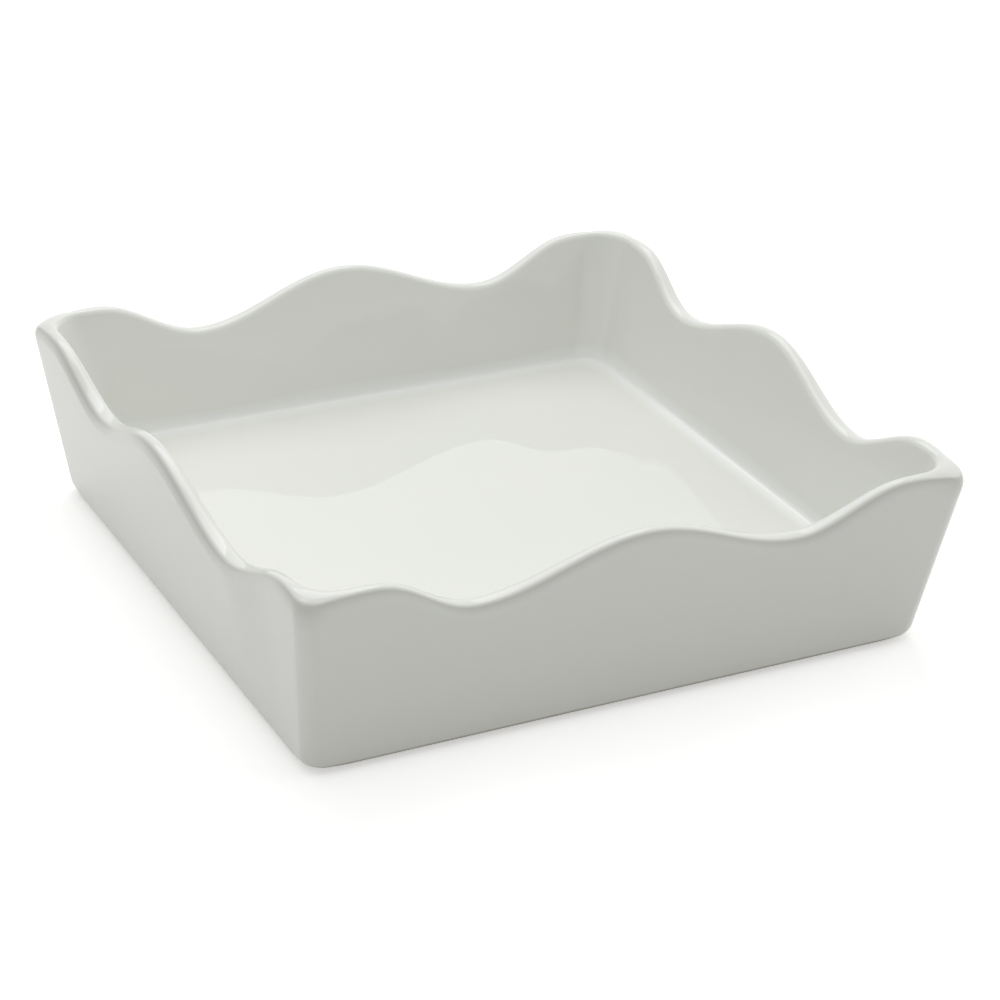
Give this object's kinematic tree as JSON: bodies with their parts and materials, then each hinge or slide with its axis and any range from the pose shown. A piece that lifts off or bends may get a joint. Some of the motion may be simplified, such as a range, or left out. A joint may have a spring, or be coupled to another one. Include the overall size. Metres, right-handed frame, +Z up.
{
  "type": "napkin tray",
  "caption": "Square white glazed tray with flared walls, a rim that rises and dips in waves, and a flat floor that holds a stack of folded napkins; it stands on small clear pads.",
  "frame": {"origin": "on the table, under the middle of the tray", "axes": "+Z up, X and Y along the sides of the tray, -Y towards the front"},
  "size_m": [0.203, 0.203, 0.0566],
  "materials": {
    "glaze": "glossy white glaze over stoneware, bare where it stands",
    "pad": "clear soft polyurethane, satin"
  },
  "bodies": {
    "root": {"tray_body": "glaze", "bumper_pad_front_left": "pad", "bumper_pad_front_right": "pad", "bumper_pad_back_right": "pad", "bumper_pad_back_left": "pad"}
  },
  "joints": []
}
